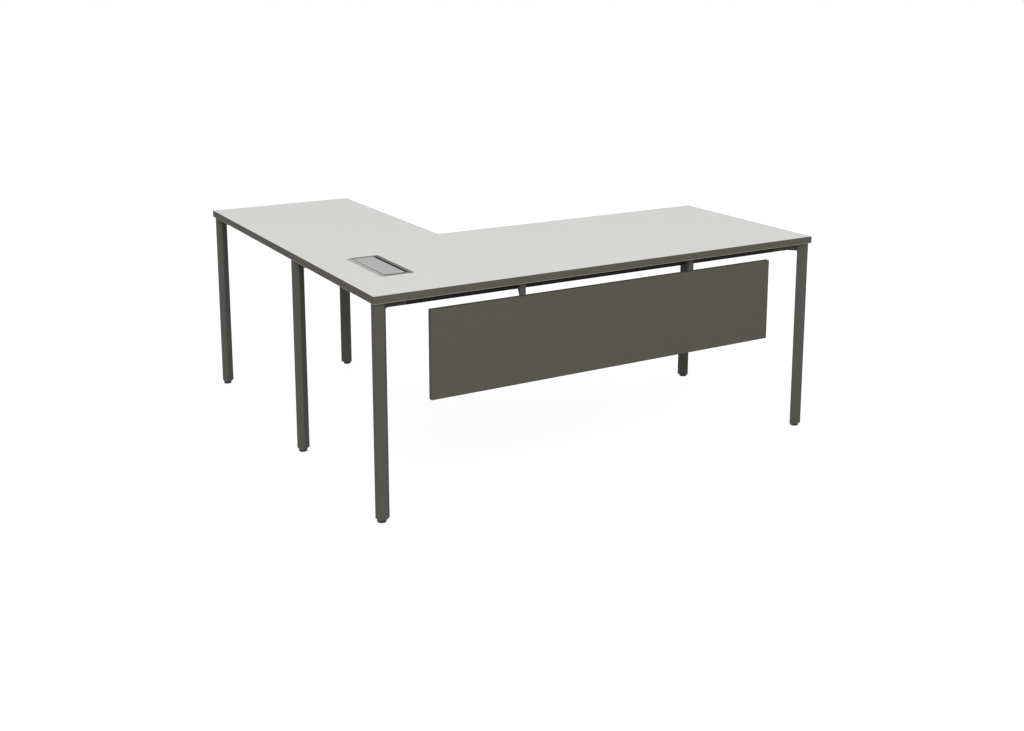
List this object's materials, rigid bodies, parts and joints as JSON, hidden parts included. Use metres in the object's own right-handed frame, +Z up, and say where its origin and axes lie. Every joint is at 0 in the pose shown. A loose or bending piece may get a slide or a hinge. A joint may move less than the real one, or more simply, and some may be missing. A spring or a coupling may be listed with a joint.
{
  "type": "l-shaped executive desk",
  "caption": "L-shaped desk with a pale top, dark edge band, pentagon legs on levelling feet, a hung front modesty panel and a flip-lid cable port.",
  "frame": {"origin": "on the floor, under the centre of the desk's overall box", "axes": "+X along the main desk's front edge to the right, +Y from the front edge towards the return, +Z up"},
  "size_m": [1.8, 1.65, 0.752],
  "materials": {
    "top_melamine": "pale grey melamine facing on chipboard, fine matt texture with faint mottling",
    "backing_sheet": "grey resin-paper balancing sheet, matt",
    "edge_band": "dark taupe ABS edge band, satin",
    "panel_melamine": "dark taupe melamine facing on chipboard, matt",
    "leg_paint": "dark taupe powder coat on steel tube, fine texture",
    "connector_casting": "dark taupe powder coat on die-cast aluminium",
    "beam_paint": "near-black powder coat on steel tube",
    "foot_nylon": "black moulded nylon",
    "port_frame_grey": "mid-grey moulded ABS, fine grain",
    "port_lid_grey": "light grey anodised aluminium, fine brushing",
    "brush_bristle": "dark nylon bristles and their dark moulded holder",
    "zinc_steel": "zinc-plated steel"
  },
  "bodies": {
    "desk": {"angle_bolts": "zinc_steel", "bracket_screws": "zinc_steel", "connector_back_left": "connector_casting", "connector_back_right": "connector_casting", "connector_front_left": "connector_casting", "connector_front_right": "connector_casting", "connector_return_left": "connector_casting", "connector_return_right": "connector_casting", "connector_screws": "zinc_steel", "foot_nuts": "zinc_steel", "joint_plate_screws": "zinc_steel", "joint_plates": "beam_paint", "leg_back_left": "leg_paint", "leg_back_right": "leg_paint", "leg_bolts": "zinc_steel", "leg_end_caps": "foot_nylon", "leg_front_left": "leg_paint", "leg_front_right": "leg_paint", "leg_nut_plates": "zinc_steel", "leg_return_left": "leg_paint", "leg_return_right": "leg_paint", "main_back_beam": "beam_paint", "main_backing": "backing_sheet", "main_board": "top_melamine", "main_edge_band": "edge_band", "main_front_beam": "beam_paint", "main_left_rail": "beam_paint", "main_right_rail": "beam_paint", "modesty_panel": "panel_melamine", "modesty_panel_edging": "edge_band", "panel_bracket_left": "leg_paint", "panel_bracket_right": "leg_paint", "panel_screws": "zinc_steel", "port_brush": "brush_bristle", "port_brush_holder": "brush_bristle", "port_clamps": "zinc_steel", "port_frame": "port_frame_grey", "port_hinge_leaf": "port_lid_grey", "port_hinge_pins": "zinc_steel", "port_screws": "zinc_steel", "return_angles": "beam_paint", "return_back_rail": "beam_paint", "return_backing": "backing_sheet", "return_board": "top_melamine", "return_edge_band": "edge_band", "return_left_beam": "beam_paint", "return_right_beam": "beam_paint", "top_screws": "zinc_steel"},
    "lid": {"port_lid": "port_lid_grey"},
    "levelling_foot_front_left": {"foot_front_left": "foot_nylon"},
    "levelling_foot_front_right": {"foot_front_right": "foot_nylon"},
    "levelling_foot_back_left": {"foot_back_left": "foot_nylon"},
    "levelling_foot_back_right": {"foot_back_right": "foot_nylon"},
    "levelling_foot_return_left": {"foot_return_left": "foot_nylon"},
    "levelling_foot_return_right": {"foot_return_right": "foot_nylon"}
  },
  "joints": [
    {"name": "lid_hinge", "type": "hinge", "parent": "desk", "child": "lid", "pos_m": [-0.7515, -0.4485, 0.7487], "axis": [0, -1, 0], "range_deg": [0, 95]},
    {"name": "foot_screw_front_left", "type": "slide", "parent": "desk", "child": "levelling_foot_front_left", "axis": [0, 0, -1], "range_m": [0, 0.015]},
    {"name": "foot_screw_front_right", "type": "slide", "parent": "desk", "child": "levelling_foot_front_right", "axis": [0, 0, -1], "range_m": [0, 0.015]},
    {"name": "foot_screw_back_left", "type": "slide", "parent": "desk", "child": "levelling_foot_back_left", "axis": [0, 0, -1], "range_m": [0, 0.015]},
    {"name": "foot_screw_back_right", "type": "slide", "parent": "desk", "child": "levelling_foot_back_right", "axis": [0, 0, -1], "range_m": [0, 0.015]},
    {"name": "foot_screw_return_left", "type": "slide", "parent": "desk", "child": "levelling_foot_return_left", "axis": [0, 0, -1], "range_m": [0, 0.015]},
    {"name": "foot_screw_return_right", "type": "slide", "parent": "desk", "child": "levelling_foot_return_right", "axis": [0, 0, -1], "range_m": [0, 0.015]}
  ]
}
